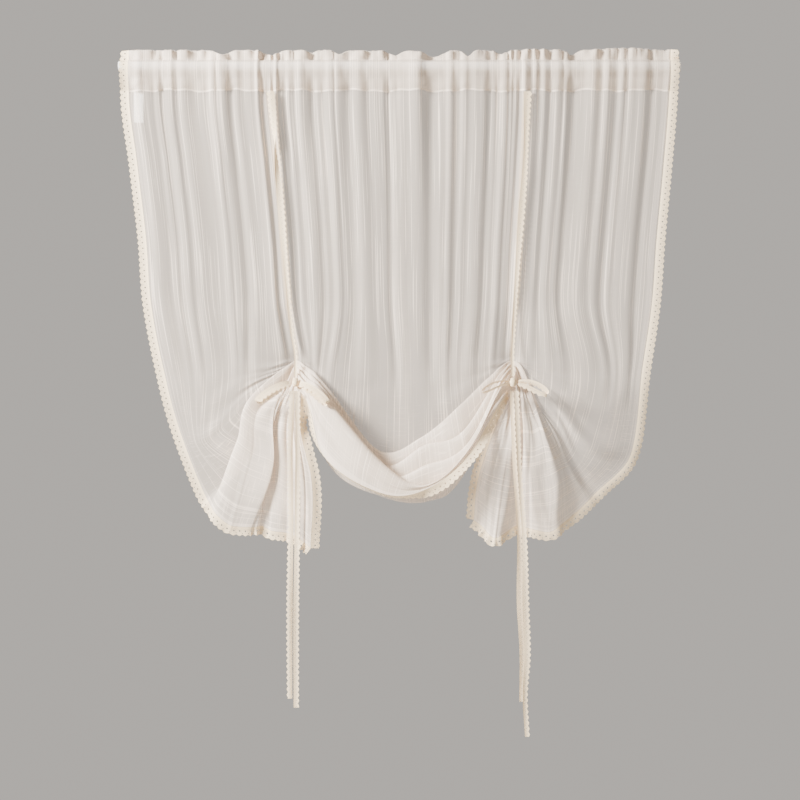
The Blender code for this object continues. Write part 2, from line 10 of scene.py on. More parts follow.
import bpy
import numpy as np
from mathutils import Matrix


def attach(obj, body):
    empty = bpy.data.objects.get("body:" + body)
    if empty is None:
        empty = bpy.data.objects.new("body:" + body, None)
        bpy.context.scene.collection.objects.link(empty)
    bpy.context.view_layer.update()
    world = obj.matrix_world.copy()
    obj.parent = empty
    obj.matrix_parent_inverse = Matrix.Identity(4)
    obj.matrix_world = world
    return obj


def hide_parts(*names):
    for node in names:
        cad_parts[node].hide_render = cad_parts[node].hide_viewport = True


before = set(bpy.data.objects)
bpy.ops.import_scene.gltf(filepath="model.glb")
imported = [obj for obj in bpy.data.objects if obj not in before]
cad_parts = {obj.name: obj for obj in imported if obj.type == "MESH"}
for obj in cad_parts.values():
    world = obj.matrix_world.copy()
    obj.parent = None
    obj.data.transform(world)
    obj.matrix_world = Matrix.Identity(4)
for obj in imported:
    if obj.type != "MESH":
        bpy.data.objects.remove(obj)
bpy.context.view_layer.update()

bl_info = {
    "name": "Cafe Curtain",
    "version": (1, 0, 0),
    "blender": (4, 5, 0),
    "location": "View3D > Sidebar > Curtain",
    "description": "Builds a sheer tie-up cafe curtain with lace edging on its rod",
    "category": "Object",
}

MM = 0.001

# Cloth: cut width and drop, height of the top edge, shares of the drop at the seams above and
# below the rod pocket, how folds turn between two fold lines, and half the gap in the header
CUT_WIDTH = 1320 * MM
DROP = 1200 * MM
TOP_Z = 31 * MM
FRILL_SEAM = 0.0145
POCKET_SEAM = 0.0625
TURN_SHARE = 0.26
TURN_DEPTH = 0.42
LAYER_GAP = 0.5 * MM

# Lace: width, repeat of its scallops, depth of the notches of the edging and of the ties, gap
# to the cloth, and cells of its mesh in one repeat and across
LACE_WIDTH = 17 * MM
LACE_REPEAT = 10.5 * MM
LACE_NOTCH = 2.9 * MM
TIE_NOTCH = 4.6 * MM
SEAM_GAP = 0.3 * MM
CELLS_ALONG = 10
CELLS_ACROSS = 14

# Eyelets in one repeat of the wide lace: share along the repeat, share across, radius
EYELETS = (
    (0.5, 0.47, 1.5),
    (0.0, 0.70, 0.9),
)

# Eyelets in one repeat of the narrow lace on the ties
TIE_EYELETS = (
    (0.5, 0.45, 0.95),
)

# Lace of the side edges: share of the width at the edge, and just inside it
SIDE_LACES = (
    ("lace_left", 0.0, 0.012),
    ("lace_right", 1.0, 0.988),
)

# Lace of the hem: shares of the width at its two ends
HEM_LACES = (
    ("lace_hem_left", 0.0, 0.258),
    ("lace_hem_middle", 0.288, 0.715),
    ("lace_hem_right", 0.742, 1.0),
)

# Where the two ties cross the cloth, as shares of its width, and where their knots hang
TIE_SHARES = (0.274, 0.728)
KNOT_X = (-193 * MM, 211 * MM)
KNOT_Y = -29 * MM
KNOT_Z = -590 * MM
KNOT_SIZE = (12 * MM, 11 * MM, 17 * MM)
COLLAR_SHARE = 0.018

# Shares of the drop at the fold lines
FOLD_SHARES = (0.50, 0.62, 0.70, 0.78, 0.81, 0.84, 0.87, 0.90, 0.925, 0.95, 0.975, 1.0)

# Where each fold line passes through the knot: y, z. The layers lie one in front of another
BUNDLE = (
    (9, -543),
    (8, -566),
    (6, -590),
    (3, -549),
    (0, -593),
    (-3, -556),
    (-6, -595),
    (-9, -563),
    (-12, -597),
    (-15, -571),
    (-17, -588),
    (-18.5, -600),
)

# Where the fold lines leave the knot on the tail's side: outwards x, y, z
TAIL_COLLAR = (
    (16, 3, -546),
    (16, 2, -573),
    (16, 0, -603),
    (17, -3, -560),
    (17, -6, -603),
    (15, -9, -588),
    (11, -12, -602),
    (7, -15, -594),
    (3, -18, -606),
    (-1, -21, -600),
    (-5, -24, -606),
    (-9, -27, -612),
)

# The same on the swag's side
SWAG_COLLAR = (
    (16, 4, -547),
    (16, 2, -575),
    (16, -1, -606),
    (16, -5, -557),
    (16, -8, -609),
    (16, -12, -566),
    (16, -15, -611),
    (16, -19, -576),
    (16, -23, -613),
    (16, -27, -587),
    (16, -31, -602),
    (16, -34, -617),
)

# Shares of the width at the table columns
LEFT_TAIL_SHARES = (0.22, 0.137, 0.0)
SWAG_SHARES = (0.365, 0.46, 0.55, 0.64)
RIGHT_TAIL_SHARES = (0.782, 0.865, 1.0)

# One row per fold line: near the knot x, y, z; half way x, y, z; side edge x, y, z
LEFT_TAIL = (
    (-257, -4, -560, -324, -4, -569, -440, 0, -569),
    (-250, -8, -594, -336, -10, -676, -403, -4, -700),
    (-240, -10, -622, -268, -8, -717, -360, -7, -805),
    (-268, -26, -607, -302, -34, -698, -347, -20, -827),
    (-253, -28, -631, -272, -38, -721, -309, -28, -857),
    (-230, -30, -634, -233, -37, -739, -276, -26, -859),
    (-225, -22, -642, -246, -20, -750, -257, -12, -857),
    (-219, -27, -642, -228, -28, -743, -238, -20, -866),
    (-207, -27, -646, -208, -28, -754, -210, -20, -870),
    (-197, -32, -648, -189, -34, -756, -188, -26, -879),
    (-191, -31, -652, -176, -31, -762, -175, -23, -889),
    (-186, -34, -661, -164, -36, -766, -165, -28, -898),
)

# One row per fold line: left shoulder x, y, z; left of middle x, y, z; right of middle x, y, z;
# right shoulder x, y, z
SWAG = (
    (-138, -4, -565, -27, 0, -569, 52, 0, -569, 128, -4, -567),
    (-144, -8, -652, -30, -4, -714, 54, -4, -712, 139, -8, -687),
    (-134, -11, -740, -26, -8, -806, 56, -8, -811, 119, -12, -764),
    (-138, -20, -594, -38, -21, -716, 40, -21, -693, 111, -26, -633),
    (-144, -25, -668, -32, -28, -784, 50, -28, -781, 126, -30, -721),
    (-137, -30, -604, -34, -35, -741, 45, -35, -707, 121, -36, -676),
    (-144, -35, -676, -30, -42, -788, 52, -41, -787, 130, -40, -732),
    (-135, -40, -612, -30, -49, -758, 50, -47, -742, 128, -45, -700),
    (-143, -44, -684, -30, -56, -791, 54, -54, -794, 134, -49, -737),
    (-132, -49, -624, -22, -63, -746, 52, -62, -778, 132, -54, -706),
    (-138, -54, -676, -32, -71, -774, 50, -67, -783, 130, -58, -714),
    (-142, -56, -722, -36, -70, -793, 46, -70, -788, 128, -62, -722),
)

# One row per fold line: near the knot x, y, z; half way x, y, z; side edge x, y, z
RIGHT_TAIL = (
    (276, -6, -560, 369, -4, -569, 453, 0, -569),
    (272, -18, -612, 341, -28, -698, 431, -6, -726),
    (270, -20, -650, 319, -12, -739, 367, -8, -795),
    (262, -30, -655, 296, -36, -750, 304, -24, -851),
    (253, -33, -658, 274, -40, -762, 276, -28, -868),
    (242, -34, -660, 246, -37, -769, 248, -26, -863),
    (228, -27, -660, 225, -22, -773, 220, -14, -857),
    (217, -33, -660, 208, -34, -777, 193, -24, -872),
    (208, -35, -660, 190, -38, -773, 177, -28, -879),
    (199, -36, -660, 175, -36, -769, 164, -20, -870),
    (190, -35, -664, 162, -29, -764, 154, -13, -858),
    (180, -33, -668, 150, -19, -757, 139, -5, -847),
)

# Shares of the drop at the level rows of the hanging cloth
HANGING_SHARES = (0.0, 0.0625, 0.18, 0.30, 0.39)

# Shape of the hanging cloth: height z, left edge x, left tie x, right tie x, right edge x
HANGING = (
    (31, -506, -241, 240, 506),
    (-44, -506, -241, 240, 504),
    (-250, -481, -223, 230, 487),
    (-410, -465, -209, 219, 472),
)

# Half gap of the rod pocket: height z, half gap y, with the widest after it
POCKET = (
    (13.6, 0.0),
    (6.5, 11.6),
    (-3.5, 13.6),
    (-17.0, 11.5),
    (-31.0, 6.5),
    (-44.0, 0.0),
)
POCKET_REACH = 13.6 * MM

# Gathers pushed up on the rod: place x, half width, forward push y, dip of the frill z
GATHERS = (
    (-331, 14, -5, 9),
    (-240, 16, 4, 9),
    (-166, 9, 6, 4),
    (-112, 10, -6, 8),
    (-60, 30, 4, 1),
    (-8, 13, 6, 10),
    (30, 18, -6, 2),
    (66, 20, 6, 12),
    (128, 9, -6, 12),
    (190, 12, 5, 7),
    (260, 34, -4, -2),
    (322, 10, 6, 9),
    (420, 50, -5, -4),
)
GATHER_FADE = 330 * MM
FRILL_BASE = 12 * MM

# Fine gathers over the hanging cloth: waves across the width, depth, phase, fading length
FINE_GATHERS = (
    (17, 2.4, 0.4, 1800),
    (37, 2.3, 2.1, 900),
    (61, 2.3, 4.4, 300),
    (104, 0.9, 1.2, 90),
)

# Small creases that run out of the knots: creases over the drop, depth, phase, reach in width
KNOT_CREASES = (
    (31, 0.9, 0.6, 0.03),
    (57, 0.5, 2.9, 0.018),
    (19, 0.8, 1.5, 0.06),
)

# How far the hem's lace is turned under: share of the width, angle in degrees
HEM_TURNS = (
    (0.30, 15),
    (0.34, 55),
    (0.38, 74),
    (0.50, 72),
    (0.56, 40),
    (0.62, 8),
    (0.70, 0),
)

# Faces between a ridge and the valley below it that belly forward: share of the drop at
# the ridge, at the valley, how far in the swag, and how far in the tails
BILLOWS = (
    (0.78, 0.81, 5, 5),
    (0.84, 0.87, 5, 4),
    (0.90, 0.925, 6, 1.5),
    (0.95, 0.975, 7, 0.5),
)

# Waves of the stitched seam under the rod pocket: waves per metre, height, phase
SEAM_WAVES = (
    (9, 1.6, 0.3),
    (23, 1.1, 1.9),
)

# Ruffles of the frill: waves across the width, depth, phase
RUFFLES = (
    (34, 2.6, 0.8),
    (59, 1.7, 3.0),
)

# Runs of the ties: height z, left x, right x, y, width, left turn and right turn in degrees
FRONT_RUN = (
    (-47, -241, 240, -9, 15, 180, 0),
    (-90, -237, 238, -9, 13, 168, 4),
    (-125, -234, 237, -9, 10, 138, 4),
    (-160, -231, 236, -9, 9, 62, 2),
    (-200, -227, 234, -9, 11, 22, 0),
    (-250, -222, 230, -8, 13, 0, 0),
    (-400, -210, 219, -7, 8, 0, -6),
    (-500, -200, 213, -8, 7, 4, 5),
    (-545, -193, 211, -16, 6, 0, 0),
    (-562, -193, 211, -20, 6, 0, 0),
    (-579, -193, 211, -23, 7, 0, 0),
)
BACK_RUN = (
    (-47, -241, 240, 9, 17, 0, 0),
    (-250, -222, 230, 9, 16, 0, 0),
    (-450, -206, 217, 10, 13, 0, 0),
    (-545, -193, 211, 18, 8, 0, 0),
    (-580, -193, 211, 19, 7, 0, 0),
    (-600, -193, 211, 14, 7, 0, 0),
    (-607, -193, 211, 2, 7, 0, 0),
    (-606, -193, 211, -12, 7, 0, 0),
)

# Bow loops: side, reach x, drop z, tape width, gap between the two layers, how far apart
# they are seen from the front, and the tape's tilt in degrees, 90 being face on
LOOP_LEAN = 33 * MM
LOOPS = (
    ("left", -68, -36, 15, 7, 10, 112),
    ("left", 58, -38, 14, 6, 10, 104),
    ("right", -58, -18, 9, 8, 17, 30),
    ("right", 60, -22, 13, 8, 22, 48),
)

# Free ends of the ties, top to bottom: x, y, z, width of the tape, turn in degrees
LEFT_OUTER_END = (
    (-199, -42, -606, 11, 180),
    (-202, -52, -700, 11, 190),
    (-201, -56, -850, 11, 172),
    (-203, -54, -1000, 12, 186),
    (-203, -50, -1174, 10, 180),
)
LEFT_INNER_END = (
    (-188, -44, -606, 9, 0),
    (-187, -56, -720, 10, 10),
    (-188, -60, -870, 10, -8),
    (-190, -58, -1020, 11, 6),
    (-190, -55, -1190, 10, 0),
)
RIGHT_INNER_END = (
    (208, -42, -606, 8, 0),
    (212, -54, -720, 9, -10),
    (222, -54, -880, 10, 8),
    (224, -52, -1000, 15, 0),
    (228, -50, -1085, 13, 6),
    (226, -48, -1180, 9, 0),
)
RIGHT_OUTER_END = (
    (217, -46, -606, 9, 0),
    (221, -62, -740, 9, 8),
    (231, -62, -890, 10, -8),
    (233, -60, -1000, 13, 4),
    (236, -58, -1100, 12, 0),
    (232, -56, -1165, 10, 12),
    (236, -55, -1244, 9, 0),
)

# Care label behind the cloth: left x, width, top z, height
LABEL = (-497 * MM, 18 * MM, -46 * MM, 58 * MM)
LABEL_Y = 3 * MM

# Stage: the floor's reach to the sides, forward and back, and the camera's lens and place
FLOOR_X = (-1.4, 1.4)
FLOOR_Y = (-1.2, 0.4)
LENS_LENGTH = 96.3
CAMERA_PLACE = (0.001, -4.0, -0.623)


def smooth_through(knots, values, places, turns=False):
    """Smooth curve through values at knots: a cubic between each two, with the slope at a
    knot taken across its neighbours. Works on whole arrays, knots along the first axis.
    With turns, a knot where the values turn back is exactly the turning point."""
    knots = np.asarray(knots, dtype=float)
    values = np.asarray(values, dtype=float)
    places = np.clip(np.asarray(places, dtype=float), knots[0], knots[-1])
    shape = (-1,) + (1,) * (values.ndim - 1)
    steps = np.diff(knots).reshape(shape)
    chords = np.diff(values, axis=0) / steps
    slopes = np.empty_like(values)
    slopes[0] = chords[0]
    slopes[-1] = chords[-1]
    slopes[1:-1] = (chords[:-1] * steps[1:] + chords[1:] * steps[:-1]) / (steps[1:] + steps[:-1])
    if turns:
        steepest = 2 * np.minimum(np.abs(chords[:-1]), np.abs(chords[1:]))
        steepest = np.where(chords[:-1] * chords[1:] > 0, steepest, 0)
        slopes[1:-1] = np.clip(slopes[1:-1], -steepest, steepest)
    cell = np.clip(np.searchsorted(knots, places, side="right") - 1, 0, len(knots) - 2)
    width = (knots[cell + 1] - knots[cell]).reshape(shape)
    t = ((places - knots[cell]) / (knots[cell + 1] - knots[cell])).reshape(shape)
    start = values[cell] * (2 * t**3 - 3 * t**2 + 1) + slopes[cell] * width * (t**3 - 2 * t**2 + t)
    end = values[cell + 1] * (3 * t**2 - 2 * t**3) + slopes[cell + 1] * width * (t**3 - t**2)
    return start + end


def bundle_points(side):
    """Places of the fold lines where tie number side pinches them."""
    points = np.empty((len(BUNDLE), 3))
    points[:, 0] = KNOT_X[side]
    points[:, 1:] = np.asarray(BUNDLE) * MM
    return points


def collar_points(side, direction, collar):
    """The fold lines a little to the left (-1) or right (1) of the knot, fanned out."""
    points = np.asarray(collar) * MM
    points[:, 0] = KNOT_X[side] + direction * points[:, 0]
    return points


def table_points(table, column):
    """The x, y, z triple number column of every row of a fold table, in metres."""
    return np.asarray(table)[:, 3 * column : 3 * column + 3] * MM


def folded_net():
    """Fold lines by width shares: the control net of the cloth at and below the ties."""
    columns = [
        (LEFT_TAIL_SHARES[2], table_points(LEFT_TAIL, 2)),
        (LEFT_TAIL_SHARES[1], table_points(LEFT_TAIL, 1)),
        (LEFT_TAIL_SHARES[0], table_points(LEFT_TAIL, 0)),
        (TIE_SHARES[0] - COLLAR_SHARE, collar_points(0, -1, TAIL_COLLAR)),
        (TIE_SHARES[0], bundle_points(0)),
        (TIE_SHARES[0] + COLLAR_SHARE, collar_points(0, 1, SWAG_COLLAR)),
        (SWAG_SHARES[0], table_points(SWAG, 0)),
        (SWAG_SHARES[1], table_points(SWAG, 1)),
        (SWAG_SHARES[2], table_points(SWAG, 2)),
        (SWAG_SHARES[3], table_points(SWAG, 3)),
        (TIE_SHARES[1] - COLLAR_SHARE, collar_points(1, -1, SWAG_COLLAR)),
        (TIE_SHARES[1], bundle_points(1)),
        (TIE_SHARES[1] + COLLAR_SHARE, collar_points(1, 1, TAIL_COLLAR)),
        (RIGHT_TAIL_SHARES[0], table_points(RIGHT_TAIL, 0)),
        (RIGHT_TAIL_SHARES[1], table_points(RIGHT_TAIL, 1)),
        (RIGHT_TAIL_SHARES[2], table_points(RIGHT_TAIL, 2)),
    ]
    shares = np.array([share for share, _ in columns])
    return shares, np.stack([points for _, points in columns], axis=1)


def turned(knots, depths):
    """Knots and depths with two more between each two: just past a fold line the cloth has
    already turned by TURN_DEPTH of its way to the next one's depth, and then hangs plainly.
    There is no turn at the hem."""
    spans = np.diff(knots)
    steps = np.diff(depths, axis=0)
    more_knots = [knots[:-1], knots[:-1] + TURN_SHARE * spans, knots[1:] - TURN_SHARE * spans]
    more_depths = [depths[:-1], depths[:-1] + TURN_DEPTH * steps, depths[1:] - TURN_DEPTH * steps]
    places = np.stack(more_knots, axis=1).reshape(-1)[:-1]
    values = np.stack(more_depths, axis=1).reshape(-1, depths.shape[1])[:-1]
    return np.append(places, knots[-1]), np.concatenate([values, depths[-1:]])


def hanging_row(z, shares):
    """Points at height z of the cloth above the ties: level, straight from edge to tie to
    tie to edge."""
    table = np.asarray(HANGING) * MM
    order = np.argsort(table[:, 0])
    knots = table[order, 0]
    x_at = smooth_through(knots, table[order, 1:], np.array([z]))[0]
    x = np.interp(shares, (0, TIE_SHARES[0], TIE_SHARES[1], 1), x_at)
    return np.stack([x, np.zeros_like(x), np.full_like(x, z)], axis=1)


def cloth_surface(width_shares, drop_shares):
    """The panel's middle surface as an array over width shares and drop shares."""
    net_shares, folded = folded_net()
    hanging = [hanging_row(TOP_Z - DROP * share, net_shares) for share in HANGING_SHARES]
    knots = np.concatenate([HANGING_SHARES, FOLD_SHARES])
    net = np.concatenate([np.stack(hanging), folded])
    rows = smooth_through(knots, net, drop_shares, turns=True)
    turn_knots, depths = turned(knots, net[..., 1])
    rows[..., 1] = smooth_through(turn_knots, depths, drop_shares, turns=True)
    return smooth_through(net_shares, np.swapaxes(rows, 0, 1), width_shares)


def gathered(points):
    """Adds the header's gathers: soft bumps about each gather's x that fade down the panel,
    and the dips that they pull in the frill's top edge."""
    x = points[..., 0]
    z = points[..., 2]
    fade = np.clip(1 + z / GATHER_FADE, 0, 1) ** 1.5
    grip = np.where(z > 0, 0.75, np.clip(1 - z / (0.1 * GATHER_FADE), 0, 1) * 0.25 + 0.75)
    rise = np.clip((z - FRILL_BASE) / (TOP_Z - FRILL_BASE), 0, 1)
    moved = points.copy()
    for place, width, push, dip in GATHERS:
        bump = np.exp(-(((x - place * MM) / (width * MM)) ** 2))
        moved[..., 1] += push * MM * bump * fade * grip * 0.8
        moved[..., 2] -= dip * MM * bump * rise
    return moved


def unit(vectors):
    """Vectors scaled to length one."""
    return vectors / np.maximum(np.linalg.norm(vectors, axis=-1, keepdims=True), 1e-9)


def edge_frame(edge, inner):
    """For points along a cloth edge and points just inside it: the way out of the cloth,
    square to the edge, and the cloth's normal."""
    along = unit(np.gradient(edge, axis=0))
    out = edge - inner
    out = unit(out - along * np.sum(out * along, axis=1, keepdims=True))
    return out, unit(np.cross(along, out))


def raised(drop_shares):
    """Heights and half gaps of the rod pocket, as functions of the drop share: the table is
    passed through evenly between the frill's seam and the seam under the pocket."""
    table = np.asarray(POCKET) * MM
    place = (drop_shares - FRILL_SEAM) / (POCKET_SEAM - FRILL_SEAM)
    values = smooth_through(np.linspace(0, 1, len(table)), table, place, turns=True)
    inside = (place >= 0) & (place <= 1)
    return inside, values[:, 0], np.where(inside, values[:, 1], 0)


def fine_gathers(points, width_shares):
    """Depth of the soft upright gathers: a sum of sine waves across the width, each fading
    down the drop by its own length, over places pushed a little to and fro."""
    place = width_shares + 0.016 * np.sin(17 * width_shares + 1) + 0.007 * np.sin(61 * width_shares + 2)
    depth = np.zeros(points.shape[:2])
    below = np.maximum(TOP_Z - points[..., 2], 0)
    for waves, size, phase, fading in FINE_GATHERS:
        wave = np.sin(2 * math.pi * waves * place + phase)[:, None]
        depth += size * MM * wave * np.exp(-below / (fading * MM))
    return depth


def ruffles(points, width_shares):
    """Depth of the frill's ruffles: sine waves that grow from its seam to its top edge."""
    rise = np.clip((points[..., 2] - FRILL_BASE) / (TOP_Z - FRILL_BASE), 0, 1)
    depth = np.zeros(points.shape[:2])
    for waves, size, phase in RUFFLES:
        place = width_shares + 0.01 * np.sin(23 * width_shares + phase)
        depth += size * MM * np.sin(2 * math.pi * waves * place + phase)[:, None]
    return depth * rise


def knot_creases(width_shares, drop_shares):
    """Depth of the small creases that run out of the knots: sine waves down the drop whose
    lines bend a little, nothing at the knot, most a little way off, and fading beyond."""
    depth = np.zeros((len(width_shares), len(drop_shares)))
    down = np.clip((drop_shares - 0.46) / 0.06, 0, 1)
    for tie in TIE_SHARES:
        away = np.abs(width_shares - tie)[:, None]
        for creases, size, phase, reach in KNOT_CREASES:
            bend = 0.012 * np.sin(width_shares * 40 + phase)[:, None]
            wave = np.sin(2 * math.pi * creases * (drop_shares[None, :] + bend) + phase)
            depth += size * MM * wave * (away / reach) * np.exp(1 - away / reach) * down
    return depth


def billows(width_shares, drop_shares):
    """Depth by which the faces of the pleats belly forward: half a sine from ridge to valley,
    nothing at the knots and full a hand's width away from them."""
    away = np.min([np.abs(width_shares - tie) for tie in TIE_SHARES], axis=0)[:, None]
    depth = np.zeros((len(width_shares), len(drop_shares)))
    in_swag = (width_shares > TIE_SHARES[0]) & (width_shares < TIE_SHARES[1])
    for ridge, valley, in_front, in_tails in BILLOWS:
        place = np.clip((drop_shares - ridge) / (valley - ridge), 0, 1)[None, :]
        size = np.where(in_swag, in_front, in_tails)[:, None] * MM
        depth -= size * np.sin(math.pi * place) * np.clip(away / 0.05, 0, 1)
    return depth


def smooth_normals(points):
    """Unit normals of a grid of points, towards the back of the flat cloth: the cross product
    of the mean directions of the grid lines each way."""
    return unit(np.cross(grid_direction(points, 0), grid_direction(points, 1)))


def grid_direction(points, axis):
    """Mean direction of the two steps at every point along one axis of a grid."""
    steps = unit(np.diff(points, axis=axis))
    first = np.take(steps, [0], axis=axis)
    last = np.take(steps, [-1], axis=axis)
    steps = np.concatenate([first, steps, last], axis=axis)
    count = points.shape[axis]
    return unit(np.take(steps, range(count), axis=axis) + np.take(steps, range(1, count + 1), axis=axis))


def draped(width_shares, drop_shares):
    """The cloth's front layer: the folded and hanging surface with its gathers, and the
    creases laid along its normals."""
    points = gathered(cloth_surface(width_shares, drop_shares))
    points[..., 1] += fine_gathers(points, width_shares) * np.clip((0.56 - drop_shares) / 0.1, 0, 1)
    points[..., 1] += ruffles(points, width_shares)
    points[..., 1] += billows(width_shares, drop_shares)
    points += smooth_normals(points) * knot_creases(width_shares, drop_shares)[..., None]
    return points


def seam_waves(points, drop_shares):
    """Heights by which the seam under the pocket waves: sines of x that die away within a
    finger's width above and below it."""
    near = np.exp(-(((drop_shares - POCKET_SEAM) * DROP / (9 * MM)) ** 2))
    rise = np.zeros(points.shape[:2])
    for waves, height, phase in SEAM_WAVES:
        rise += height * MM * np.sin(2 * math.pi * waves * points[..., 0] + phase)
    return rise * near


def pocketed(points, drop_shares, side):
    """Moves the rows of the rod pocket to their heights, and out from the rod: side -1 is
    the front layer and 1 the back one. Ripples only push a layer away from the rod."""
    inside, heights, gaps = raised(drop_shares)
    ripple = points[..., 1]
    open_share = np.clip(gaps / POCKET_REACH, 0, 1)
    outward = np.maximum(side * ripple, 0) * side
    moved = points.copy()
    depth = side * gaps + outward * open_share + ripple * (1 - open_share)
    moved[..., 1] = np.where(inside, depth, ripple)
    moved[..., 2] = np.where(inside, heights, points[..., 2]) + seam_waves(points, drop_shares)
    return moved


def whole_cloth(width_shares, drop_shares):
    """One surface: the turned back layer from the pocket's seam up to the frill's top edge,
    over it, and the front layer down to the hem. Also its lengths along the cut."""
    front = pocketed(draped(width_shares, drop_shares), drop_shares, -1)
    turned_shares = drop_shares[drop_shares <= POCKET_SEAM + 0.002][:0:-1]
    back = pocketed(draped(width_shares, turned_shares), turned_shares, 1)
    back[..., 1] += 2 * LAYER_GAP
    points = np.concatenate([back, front], axis=1)
    along = np.concatenate([-turned_shares, drop_shares]) * DROP
    return points, along


def drop_rows():
    """Drop shares of the rows: even between the seams, close where the cloth is folded."""
    pieces = [np.linspace(0, FRILL_SEAM, 7), np.linspace(FRILL_SEAM, POCKET_SEAM, 19)]
    pieces.append(np.linspace(POCKET_SEAM, FOLD_SHARES[0], 50))
    for start, stop in zip(FOLD_SHARES[:-1], FOLD_SHARES[1:]):
        pieces.append(np.linspace(start, stop, 24))
    return np.unique(np.round(np.concatenate(pieces), 7))


def width_columns():
    """Width shares of the columns: even, and closer where a tie gathers the cloth."""
    even = np.linspace(0, 1, 199)
    close = [np.linspace(tie - 0.03, tie + 0.03, 25) for tie in TIE_SHARES]
    return np.unique(np.round(np.concatenate([even] + close), 6))


def grid_mesh(name, points, flat_places, keep=None):
    """A mesh from a grid of points, with each point's place in the flat cloth, in metres, in
    the UV map. keep marks the cells to make."""
    columns, rows = points.shape[:2]
    ids = np.arange(columns * rows).reshape(columns, rows)
    corners = np.stack([ids[:-1, :-1], ids[1:, :-1], ids[1:, 1:], ids[:-1, 1:]], axis=-1)
    faces = corners.reshape(-1, 4) if keep is None else corners[keep]
    used = np.unique(faces)
    renumber = np.zeros(columns * rows, dtype=int)
    renumber[used] = np.arange(len(used))
    faces = renumber[faces]
    mesh = bpy.data.meshes.new(name)
    mesh.vertices.add(len(used))
    mesh.vertices.foreach_set("co", points.reshape(-1, 3)[used].astype(np.float32).ravel())
    mesh.loops.add(faces.size)
    mesh.loops.foreach_set("vertex_index", faces.ravel().astype(np.int32))
    mesh.polygons.add(len(faces))
    mesh.polygons.foreach_set("loop_start", np.arange(0, faces.size, 4, dtype=np.int32))
    mesh.update(calc_edges=True)
    uv = mesh.uv_layers.new(name="flat")
    uv.data.foreach_set("uv", flat_places.reshape(-1, 2)[used][faces.ravel()].astype(np.float32).ravel())
    mesh.shade_smooth()
    piece = bpy.data.objects.new(name, mesh)
    bpy.context.scene.collection.objects.link(piece)
    return piece


def even_path(path, others, step):
    """A path resampled to even steps along its length, and other arrays of values at its
    points carried with it."""
    lengths = np.concatenate([[0], np.cumsum(np.linalg.norm(np.diff(path, axis=0), axis=1))])
    count = max(2, int(round(lengths[-1] / step)))
    places = np.linspace(0, lengths[-1], count + 1)
    carried = []
    for values in [path] + list(others):
        columns = [np.interp(places, lengths, column) for column in values.T]
        carried.append(np.stack(columns, axis=1))
    return places, carried


def lace_tape(name, path, out, normal, widths, eyelets, notch):
    """Lace along a path: its straight heading on the path, its pointed scallops at the far
    side. The far side is at the width less a notch that is a bent saw wave of the length, and
    cells whose middle is in an eyelet are left out, with the corners around it moved onto
    the eyelet's circle. It bulges a little along its normal between heading and edge."""
    step = LACE_REPEAT / CELLS_ALONG
    places, carried = even_path(path, [out, normal, widths], step)
    path, out, normal, widths = carried
    out = unit(out)
    normal = unit(normal)
    widths = widths[:, :1]
    saw = np.abs(2 * ((places / LACE_REPEAT) % 1) - 1)[:, None]
    reach = widths - notch * saw**1.4 * widths / LACE_WIDTH
    across = np.linspace(0, 1, CELLS_ACROSS + 1)[None, :]
    in_repeat = (places / LACE_REPEAT % 1)[:, None]
    u_place = np.broadcast_to(places[:, None], (len(places), CELLS_ACROSS + 1)).copy()
    v_place = across * reach
    keep = np.ones((len(places) - 1, CELLS_ACROSS), dtype=bool)
    for share_along, share_across, radius in eyelets:
        centre_v = share_across * widths
        size = radius * MM * np.sqrt(widths / LACE_WIDTH)
        du = ((in_repeat - share_along + 0.5) % 1 - 0.5) * LACE_REPEAT + u_place - places[:, None]
        dv = v_place - centre_v
        middle_u = (du[:-1, :-1] + du[1:, :-1]) / 2
        middle_u = np.where(np.abs(du[1:, :-1] - du[:-1, :-1]) > LACE_REPEAT / 2, LACE_REPEAT, middle_u)
        middle_v = (dv[:-1, :-1] + dv[:-1, 1:] + dv[1:, :-1] + dv[1:, 1:]) / 4
        gone = np.hypot(middle_u, middle_v) < size[:-1]
        touched = np.zeros(du.shape, dtype=int)
        for a in (slice(None, -1), slice(1, None)):
            for b in (slice(None, -1), slice(1, None)):
                touched[a, b] += gone
        rim = (touched > 0) & (touched < 4)
        away = np.maximum(np.hypot(du, dv), 1e-6)
        scale = np.where(rim, size / away, 1)
        u_place += du * (scale - 1)
        v_place = v_place + dv * (scale - 1)
        keep &= ~gone
    bulge = 0.9 * MM * np.sin(math.pi * np.clip(v_place / widths, 0, 1))
    slide = u_place - places[:, None]
    along = unit(np.gradient(path, axis=0))
    points = path[:, None] + along[:, None] * slide[..., None]
    points = points + out[:, None] * v_place[..., None] + normal[:, None] * bulge[..., None]
    flat = np.stack([u_place, v_place + 0 * u_place], axis=-1)
    return grid_mesh(name, points, flat, keep), places[-1]


def side_lace(name, edge_share, inner_share):
    """Lace sewn along a side edge, from the frill's top to the corner of the hem."""
    shares = drop_rows()
    pair = np.array([edge_share, inner_share])
    surface = pocketed(draped(pair, shares), shares, -1)
    out, normal = edge_frame(surface[0], surface[1])
    start = surface[0] + out * SEAM_GAP
    return lace_tape(name, start, out, normal, np.full((len(shares), 1), LACE_WIDTH), EYELETS, LACE_NOTCH)


